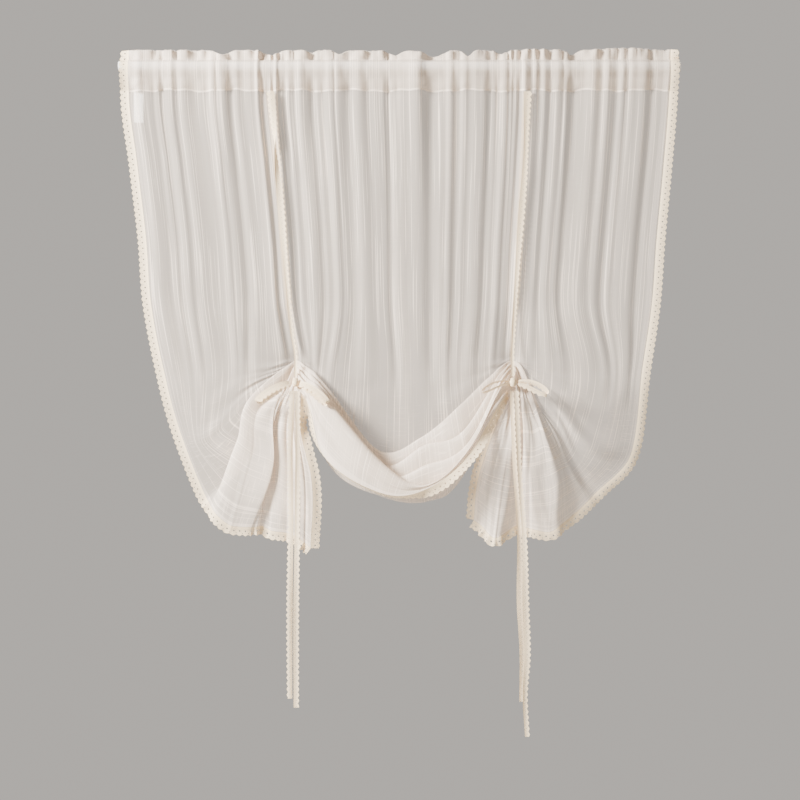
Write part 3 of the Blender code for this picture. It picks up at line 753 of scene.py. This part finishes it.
def hem_lace(name, first_share, last_share):
    """Lace sewn along the hem between two width shares, narrowing to nothing much where it
    goes into a knot, and turned under the swag by the angles of a table."""
    columns = width_columns()
    columns = columns[(columns >= first_share) & (columns <= last_share)]
    surface = draped(columns, np.array([0.985, 0.9925, 1.0]))
    out, normal = edge_frame(surface[:, 2], surface[:, 0])
    angle = np.radians(np.interp(columns, *zip(*HEM_TURNS)))[:, None]
    out, normal = out * np.cos(angle) + normal * np.sin(angle), normal * np.cos(angle) - out * np.sin(angle)
    start = surface[:, 2] + out * SEAM_GAP
    nearest = np.min([np.abs(columns - tie) for tie in TIE_SHARES], axis=0)
    widths = LACE_WIDTH * np.clip(nearest / 0.035, 0.35, 1)[:, None]
    return lace_tape(name, start, out, normal, widths, EYELETS, LACE_NOTCH)


def tape_rows(rows):
    """A smooth path through rows of x, y, z, width and turn, from top to bottom, and the
    directions of its width and of its face, turned about it by that angle."""
    rows = np.asarray(rows, dtype=float)
    rows[:, :4] *= MM
    spans = np.concatenate([[0], np.cumsum(np.linalg.norm(np.diff(rows[:, :3], axis=0), axis=1))])
    smooth = smooth_through(spans, rows, np.linspace(0, spans[-1], 40 * len(rows)))
    path = smooth[:, :3]
    along = unit(np.gradient(path, axis=0))
    level = np.tile((1.0, 0.0, 0.0), (len(path), 1))
    facing = unit(np.cross(level, along))
    angle = np.radians(smooth[:, 4:5])
    across = level * np.cos(angle) + facing * np.sin(angle)
    return path, across, unit(np.cross(across, along)), smooth[:, 3:4]


def tie_tape(name, rows):
    """A tie's tape along its rows: its middle on the path, its scallops on one side."""
    path, across, facing, widths = tape_rows(rows)
    start = path - across * widths / 2
    return lace_tape(name, start, across, facing, widths, TIE_EYELETS, TIE_NOTCH)


def loop_tape(name, centre, row):
    """A loop of tape, as a long drop: it goes out along its way as the root of a sine, and
    its two layers part to each side of it, and before and behind it, as a cosine. The tape
    narrows to the knot and sags between knot and tip."""
    reach, drop, width, gap, apart, tilt = row
    tip = np.array([reach, 0, drop]) * MM
    length = np.linalg.norm(tip)
    way = tip / length
    side = np.array([-way[2], 0, way[0]]) * math.copysign(1, reach)
    turn = np.linspace(0.02, 0.98, 90) * math.pi
    out = (np.sin(turn) ** 0.7)[:, None]
    part = (np.cos(turn) * np.sin(turn) ** 0.6)[:, None] * MM / 2
    path = centre + way * length * out + side * apart * part
    path[:, 1:2] += -gap * part - LOOP_LEAN * out**0.5
    path[:, 2:3] += 5 * MM * np.sin(math.pi * out)
    along = unit(np.gradient(path, axis=0))
    back = np.tile((0.0, 1.0, 0.0), (len(path), 1))
    level = unit(np.cross(along, back)) * math.copysign(1, reach)
    angle = math.radians(tilt)
    flip = np.where(np.cos(turn) > 0, 1, -1)[:, None] * -1.0
    face = level * np.clip(np.abs(np.cos(turn)) * 4, 0, 1)[:, None] * flip
    across = unit(face * math.sin(angle) + back * (math.cos(angle) + 0.05))
    widths = width * MM * (0.45 + 0.55 * np.minimum(1, out / 0.35))
    start = path - across * widths / 2
    facing = unit(np.cross(across, along))
    return lace_tape(name, start, across, facing, widths, TIE_EYELETS, TIE_NOTCH)


def knot_lump(name, centre, size):
    """The knot: a rounded block, a superellipse round and a drawn-in oval upwards, with the
    slanting wraps of the tape as two soft ridges."""
    turns = np.linspace(0, 2 * math.pi, 49)
    rises = np.linspace(-1.45, 1.45, 33)
    turn, rise = np.meshgrid(turns, rises, indexing="ij")
    wrap = 1 + 0.07 * np.cos(6 * rise + 2 * turn)
    ring = np.cos(rise) ** 0.55 * wrap
    points = np.stack([np.cos(turn) * ring, np.sin(turn) * ring, np.sin(rise)], axis=-1)
    points = points * np.array(size) / 2 + centre
    flat = np.stack([turn * size[0] / 2, rise * size[2] / 2], axis=-1)
    return grid_mesh(name, points, flat)


def linear_colour(code):
    """Linear red, green, blue and one from a six-digit sRGB hex code."""
    values = np.array([int(code[n : n + 2], 16) for n in (0, 2, 4)]) / 255
    values = np.where(values <= 0.04045, values / 12.92, ((values + 0.055) / 1.055) ** 2.4)
    return (*values.tolist(), 1.0)


def add_node(tree, kind, settings=(), links=(), values=()):
    """Adds a node: settings are its own properties, links its inputs from other nodes'
    outputs, and values its inputs' constants."""
    node = tree.nodes.new(kind)
    for key, value in settings:
        setattr(node, key, value)
    for key, value in values:
        node.inputs[key].default_value = value
    for key, output in links:
        tree.links.new(output, node.inputs[key])
    return node


def plain_material(name, colour, roughness, sheen=0.0):
    """A new Principled material with a colour and a roughness."""
    material = bpy.data.materials.new(name)
    material.use_nodes = True
    shader = material.node_tree.nodes["Principled BSDF"]
    shader.inputs["Base Color"].default_value = colour
    shader.inputs["Roughness"].default_value = roughness
    shader.inputs["Sheen Weight"].default_value = sheen
    return material, material.node_tree, shader


def scaled_noise(tree, uv, scale, detail):
    """Noise over the flat cloth, stretched: scale is its fineness per metre each way."""
    stretched = add_node(
        tree, "ShaderNodeVectorMath", [("operation", "MULTIPLY")], [(0, uv)], [(1, (*scale, 1.0))]
    )
    settings = [("noise_dimensions", "2D")]
    noise = add_node(
        tree, "ShaderNodeTexNoise", settings, [("Vector", stretched.outputs[0])],
        [("Scale", 1.0), ("Detail", detail)],
    )
    return noise.outputs["Fac"]


def ranged(tree, value, low, high, start, stop):
    """Maps a value from one range to another, held inside it."""
    node = add_node(
        tree, "ShaderNodeMapRange", [("clamp", True)], [("Value", value)],
        [("From Min", low), ("From Max", high), ("To Min", start), ("To Max", stop)],
    )
    return node.outputs["Result"]


def voile_material(sizes):
    """Slubby cotton voile: a sheer off-white weave, with long thicker threads down the cloth
    and short ones across that are less sheer, and turned edges that are denser."""
    material, tree, shader = plain_material(
        "Slubby cotton voile", linear_colour(sizes.cloth_colour), 0.86, 0.15
    )
    uv = add_node(tree, "ShaderNodeUVMap", [("uv_map", "flat")]).outputs["UV"]
    # long pale threads down the cloth: the fine upright streaks of the weave
    down = ranged(tree, scaled_noise(tree, uv, (330, 3.5), 2), 0.60, 0.68, 0, 0.40)
    # short thick slubs across the cloth, in its lower part
    over = ranged(tree, scaled_noise(tree, uv, (16, 480), 3), 0.58, 0.74, 0, 0.30)
    split = add_node(tree, "ShaderNodeSeparateXYZ", links=[(0, uv)])
    lower = ranged(tree, split.outputs[1], 0.52 * DROP, 0.66 * DROP, 0.1, 1)
    over = add_node(tree, "ShaderNodeMath", [("operation", "MULTIPLY")], [(0, over), (1, lower)]).outputs[0]
    # cloth drawn up in the swags and tails is crumpled finely, so less light comes through
    crowded = ranged(tree, split.outputs[1], 0.66 * DROP, 0.82 * DROP, 0, 0.34)
    # broad soft cloudiness of an uneven weave
    cloud = ranged(tree, scaled_noise(tree, uv, (16, 1.5), 3), 0.3, 0.7, -0.10, 0.10)
    total = add_node(tree, "ShaderNodeMath", [("operation", "ADD")], [(0, down), (1, over)])
    total = add_node(tree, "ShaderNodeMath", [("operation", "ADD")], [(0, total.outputs[0]), (1, cloud)])
    total = add_node(tree, "ShaderNodeMath", [("operation", "ADD")], [(0, total.outputs[0]), (1, crowded)])
    # turned hem: the last finger's width of the cloth is two layers thick
    hem = ranged(tree, split.outputs[1], DROP - 9.5 * MM, DROP - 9 * MM, 0, 0.22)
    # the header is gathered tight on the rod, and its seam is a close stitched line
    head = ranged(tree, split.outputs[1], POCKET_SEAM * DROP, POCKET_SEAM * DROP + 1.5 * MM, 0.20, 0)
    off_seam = add_node(
        tree, "ShaderNodeMath", [("operation", "COMPARE")], [(0, split.outputs[1])],
        [(1, POCKET_SEAM * DROP), (2, 1.6 * MM)],
    )
    seam = ranged(tree, off_seam.outputs[0], 0, 1, 0, 0.35)
    left = ranged(tree, split.outputs[0], 7 * MM, 7.5 * MM, 0.18, 0)
    right = ranged(tree, split.outputs[0], CUT_WIDTH - 7.5 * MM, CUT_WIDTH - 7 * MM, 0, 0.18)
    edge = add_node(tree, "ShaderNodeMath", [("operation", "MAXIMUM")], [(0, left), (1, right)])
    edge = add_node(tree, "ShaderNodeMath", [("operation", "MAXIMUM")], [(0, edge.outputs[0]), (1, hem)])
    edge = add_node(tree, "ShaderNodeMath", [("operation", "ADD")], [(0, edge.outputs[0]), (1, head)])
    edge = add_node(tree, "ShaderNodeMath", [("operation", "ADD")], [(0, edge.outputs[0]), (1, seam)])
    total = add_node(
        tree, "ShaderNodeMath", [("operation", "ADD")],
        [(0, total.outputs[0]), (1, edge.outputs[0])],
    )
    alpha = ranged(tree, total.outputs[0], 0, 1, 1 - sizes.sheerness, 2 - sizes.sheerness)
    tree.links.new(alpha, shader.inputs["Alpha"])
    # threads stand up a little from the weave
    bump = add_node(
        tree, "ShaderNodeBump", (), [("Height", total.outputs[0])],
        [("Strength", 0.25), ("Distance", 0.0006)],
    )
    tree.links.new(bump.outputs["Normal"], shader.inputs["Normal"])
    return material


def lace_material(sizes):
    """Cream cotton lace: a close twisted net, its threads raised, small gaps between them."""
    material, tree, shader = plain_material(
        "Cream cotton lace", linear_colour(sizes.lace_colour), 0.9, 0.1
    )
    uv = add_node(tree, "ShaderNodeUVMap", [("uv_map", "flat")]).outputs["UV"]
    turned_uv = add_node(tree, "ShaderNodeVectorRotate", (), [("Vector", uv)], [("Angle", math.radians(45))])
    net = add_node(
        tree, "ShaderNodeTexVoronoi", [("feature", "DISTANCE_TO_EDGE"), ("voronoi_dimensions", "2D")],
        [("Vector", turned_uv.outputs[0])], [("Scale", 1 / (1.5 * MM)), ("Randomness", 0.25)],
    )
    split = add_node(tree, "ShaderNodeSeparateXYZ", links=[(0, uv)])
    # the heading next to the cloth is a close band with no gaps
    heading = ranged(tree, split.outputs[1], 3.2 * MM, 3.8 * MM, 1, 0)
    threads = ranged(tree, net.outputs["Distance"], 0.20, 0.34, 1.0, 0.35)
    alpha = add_node(tree, "ShaderNodeMath", [("operation", "MAXIMUM")], [(0, heading), (1, threads)])
    tree.links.new(alpha.outputs[0], shader.inputs["Alpha"])
    bump = add_node(
        tree, "ShaderNodeBump", (), [("Height", threads)], [("Strength", 0.4), ("Distance", 0.0004)]
    )
    tree.links.new(bump.outputs["Normal"], shader.inputs["Normal"])
    return material


def rod_material():
    """White powder-coated steel: smooth, low gloss, with the faint dimpling of the coat."""
    material, tree, shader = plain_material("White powder-coated steel", linear_colour("ecebe8"), 0.42)
    place = add_node(tree, "ShaderNodeTexCoord").outputs["Object"]
    dimples = add_node(tree, "ShaderNodeTexNoise", (), [("Vector", place)], [("Scale", 1400), ("Detail", 1)])
    bump = add_node(
        tree, "ShaderNodeBump", (), [("Height", dimples.outputs["Fac"])],
        [("Strength", 0.1), ("Distance", 0.0002)],
    )
    tree.links.new(bump.outputs["Normal"], shader.inputs["Normal"])
    return material


def label_material():
    """White satin ribbon: a smooth close weave with fine cross ribs."""
    material, tree, shader = plain_material("White satin ribbon", linear_colour("f2f0ec"), 0.5, 0.1)
    uv = add_node(tree, "ShaderNodeUVMap", [("uv_map", "flat")]).outputs["UV"]
    ribs = scaled_noise(tree, uv, (30, 2500), 1)
    bump = add_node(
        tree, "ShaderNodeBump", (), [("Height", ribs)], [("Strength", 0.2), ("Distance", 0.0002)]
    )
    tree.links.new(bump.outputs["Normal"], shader.inputs["Normal"])
    return material


def dress(piece, material_name, maker):
    """Gives a piece its material, made once."""
    material = bpy.data.materials.get(material_name) or maker()
    piece.data.materials.clear()
    piece.data.materials.append(material)


def dress_lace(piece, sizes):
    """Gives a piece the lace material."""
    dress(piece, "Cream cotton lace", lambda: lace_material(sizes))


def hung(piece):
    """Puts a piece on the body of the frame."""
    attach(piece, "root")


class CurtainSizes(bpy.types.PropertyGroup):
    """Sizes and colours of the curtain that a user would change."""

    cloth_colour: bpy.props.StringProperty(
        name="Cloth colour", description="sRGB hex code of the voile", default="f5e3cf"
    )
    lace_colour: bpy.props.StringProperty(
        name="Lace colour", description="sRGB hex code of the lace and ties", default="f6dfb8"
    )
    sheerness: bpy.props.FloatProperty(
        name="Sheerness", description="Share of light that one layer lets straight through",
        default=0.66, min=0.0, max=0.9, subtype="FACTOR",
    )
    floor_drop: bpy.props.FloatProperty(
        name="Floor depth", description="How far the floor is below the rod",
        default=1.62, unit="LENGTH",
    )
    key_power: bpy.props.FloatProperty(
        name="Key light", description="Power of the large soft light", default=640.0, unit="POWER"
    )


class CURTAIN_OT_rod(bpy.types.Operator):
    """Paints the rod"""

    bl_idname = "curtain.rod"
    bl_label = "Rod"

    def execute(self, context):
        """Puts the powder coat into the rod's material slots."""
        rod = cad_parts["rod"]
        material = rod_material()
        for place in rod.material_slots:
            place.material = material
        return {"FINISHED"}


class CURTAIN_OT_panel(bpy.types.Operator):
    """Makes the sheer panel"""

    bl_idname = "curtain.panel"
    bl_label = "Sheer panel"

    def execute(self, context):
        """Builds the cloth from its folds, gathers and creases."""
        sizes = context.scene.curtain_sizes
        columns = width_columns()
        points, along = whole_cloth(columns, drop_rows())
        flat = np.stack(np.meshgrid(columns * CUT_WIDTH, along, indexing="ij"), axis=-1)
        piece = grid_mesh("sheer_panel", points, flat)
        dress(piece, "Slubby cotton voile", lambda: voile_material(sizes))
        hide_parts("panel")
        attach(piece, "root")
        return {"FINISHED"}


class CURTAIN_OT_lace(bpy.types.Operator):
    """Sews the lace edging on"""

    bl_idname = "curtain.lace"
    bl_label = "Lace edging"

    def execute(self, context):
        """Builds the lace of both side edges and of the hem."""
        sizes = context.scene.curtain_sizes
        made = []
        for node, edge, inner in SIDE_LACES:
            made.append((node, side_lace(node + "_edging", edge, inner)[0]))
        for node, first, last in HEM_LACES:
            made.append((node, hem_lace(node + "_edging", first, last)[0]))
        for node, piece in made:
            dress_lace(piece, sizes)
            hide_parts(node)
            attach(piece, "root")
        return {"FINISHED"}


class CURTAIN_OT_ties(bpy.types.Operator):
    """Hangs the ties in front of and behind the cloth"""

    bl_idname = "curtain.ties"
    bl_label = "Ties"

    def execute(self, context):
        """Builds the runs of both ties from the pocket's seam to the knots."""
        for column, side in ((1, "left"), (2, "right")):
            for node, run in (("tie_front_", FRONT_RUN), ("tie_back_", BACK_RUN)):
                rows = [(row[column], row[3], row[0], row[4], row[4 + column]) for row in run]
                piece, length = tie_tape(node + side + "_tape", rows)
                dress_lace(piece, context.scene.curtain_sizes)
                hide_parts(node + side)
                hung(piece)
        return {"FINISHED"}


class CURTAIN_OT_bows(bpy.types.Operator):
    """Ties the two bows"""

    bl_idname = "curtain.bows"
    bl_label = "Bows"

    def execute(self, context):
        """Builds each bow's knot and its loops."""
        for number, side in enumerate(("left", "right")):
            centre = np.array([KNOT_X[number], KNOT_Y, KNOT_Z])
            knot = knot_lump("knot_" + side, centre, KNOT_SIZE)
            dress_lace(knot, context.scene.curtain_sizes)
            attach(knot, "root")
            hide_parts("bow_" + side)
            for row in LOOPS:
                if row[0] == side:
                    name = "loop_" + side + ("_left" if row[1] < 0 else "_right")
                    piece, length = loop_tape(name, centre, row[1:])
                    dress_lace(piece, context.scene.curtain_sizes)
                    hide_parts("bow_" + side)
                    hung(piece)
        return {"FINISHED"}


class CURTAIN_OT_ends(bpy.types.Operator):
    """Lets the free ends of the ties hang"""

    bl_idname = "curtain.ends"
    bl_label = "Free ends"

    def execute(self, context):
        """Builds the two free ends of each bow."""
        for node, rows in (
            ("tie_end_left_outer", LEFT_OUTER_END),
            ("tie_end_left_inner", LEFT_INNER_END),
            ("tie_end_right_inner", RIGHT_INNER_END),
            ("tie_end_right_outer", RIGHT_OUTER_END),
        ):
            piece, length = tie_tape(node + "_tape", rows)
            dress_lace(piece, context.scene.curtain_sizes)
            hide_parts(node)
            hung(piece)
        return {"FINISHED"}


class CURTAIN_OT_label(bpy.types.Operator):
    """Adds the blank care label"""

    bl_idname = "curtain.label"
    bl_label = "Care label"

    def execute(self, context):
        """Builds the label as a small flat tab with a slight curl at its lower end."""
        left, width, top, height = LABEL
        across, down = np.meshgrid(np.linspace(0, 1, 9), np.linspace(0, 1, 25), indexing="ij")
        curl = 1.2 * MM * down**3
        points = np.stack([left + width * across, LABEL_Y + curl, top - height * down], axis=-1)
        flat = np.stack([width * across, height * down], axis=-1)
        piece = grid_mesh("blank_label", points, flat)
        dress(piece, "White satin ribbon", label_material)
        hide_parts("care_label")
        hung(piece)
        return {"FINISHED"}


class CURTAIN_OT_stage(bpy.types.Operator):
    """Sets the floor, lights and camera"""

    bl_idname = "curtain.stage"
    bl_label = "Stage"

    def execute(self, context):
        """Builds the floor, two soft lights, a plain surround and the front camera."""
        sizes = context.scene.curtain_sizes
        floor = floor_piece(sizes.floor_drop)
        soft_light("key", (-2.6, -1.5, 0.9), (math.radians(63), 0, math.radians(-60)), 0.9, sizes.key_power)
        soft_light("fill", (2.4, -2.2, -0.4), (math.radians(88), 0, math.radians(47)), 1.8, 30)
        context.scene.world = surround()
        lens = bpy.data.cameras.new("front")
        lens.lens = LENS_LENGTH
        camera = bpy.data.objects.new("front", lens)
        camera.location = CAMERA_PLACE
        camera.rotation_euler = (math.radians(90), 0, 0)
        context.scene.collection.objects.link(camera)
        context.scene.camera = camera
        return {"FINISHED"}


def floor_piece(depth):
    """A plain pale floor: a flat grid under the curtain."""
    x, y = np.meshgrid(np.linspace(*FLOOR_X, 3), np.linspace(*FLOOR_Y, 3), indexing="ij")
    points = np.stack([x, y, np.full_like(x, -depth)], axis=-1)
    piece = grid_mesh("floor", points, np.stack([x, y], axis=-1))
    piece.data.materials.append(plain_material("Pale matt paint", linear_colour("d8d5d0"), 0.9)[0])
    return piece


def surround():
    """A plain warm grey surround that lights the cloth less than it shows behind it."""
    world = bpy.data.worlds.new("surround")
    world.use_nodes = True
    tree = world.node_tree
    seen = add_node(tree, "ShaderNodeLightPath").outputs["Is Camera Ray"]
    lights = tree.nodes["Background"]
    lights.inputs["Color"].default_value = linear_colour("d8b88e")
    lights.inputs["Strength"].default_value = 0.34
    shows = add_node(tree, "ShaderNodeBackground", values=[("Color", linear_colour("c3beb8"))])
    mixed = add_node(
        tree, "ShaderNodeMixShader", (),
        [(0, seen), (1, lights.outputs[0]), (2, shows.outputs[0])],
    )
    tree.links.new(mixed.outputs[0], tree.nodes["World Output"].inputs["Surface"])
    return world


def soft_light(name, place, turn, size, power):
    """A square area light."""
    light = bpy.data.lights.new(name, "AREA")
    light.size = size
    light.energy = power
    lamp = bpy.data.objects.new(name, light)
    lamp.location = place
    lamp.rotation_euler = turn
    bpy.context.scene.collection.objects.link(lamp)


class CURTAIN_PT_sidebar(bpy.types.Panel):
    """The curtain's pieces and sizes in the sidebar."""

    bl_idname = "CURTAIN_PT_sidebar"
    bl_label = "Cafe Curtain"
    bl_space_type = "VIEW_3D"
    bl_region_type = "UI"
    bl_category = "Curtain"

    def draw(self, context):
        """Lists the sizes and the operators."""
        sizes = context.scene.curtain_sizes
        for name in ("cloth_colour", "lace_colour", "sheerness", "floor_drop", "key_power"):
            self.layout.prop(sizes, name)
        for operator in OPERATORS:
            self.layout.operator(operator.bl_idname)


OPERATORS = (
    CURTAIN_OT_rod,
    CURTAIN_OT_panel,
    CURTAIN_OT_lace,
    CURTAIN_OT_ties,
    CURTAIN_OT_bows,
    CURTAIN_OT_ends,
    CURTAIN_OT_label,
    CURTAIN_OT_stage,
)
CLASSES = (CurtainSizes,) + OPERATORS + (CURTAIN_PT_sidebar,)


def register():
    """Registers the classes and puts the sizes on the scene."""
    for kind in CLASSES:
        bpy.utils.register_class(kind)
    bpy.types.Scene.curtain_sizes = bpy.props.PointerProperty(type=CurtainSizes)


def unregister():
    """Takes the sizes and the classes away again."""
    del bpy.types.Scene.curtain_sizes
    for kind in reversed(CLASSES):
        bpy.utils.unregister_class(kind)


def main():
    """Builds the curtain and its stage."""
    register()
    bpy.ops.curtain.rod()
    bpy.ops.curtain.panel()
    bpy.ops.curtain.lace()
    bpy.ops.curtain.ties()
    bpy.ops.curtain.bows()
    bpy.ops.curtain.ends()
    bpy.ops.curtain.label()
    bpy.ops.curtain.stage()


if __name__ == "__main__":
    main()
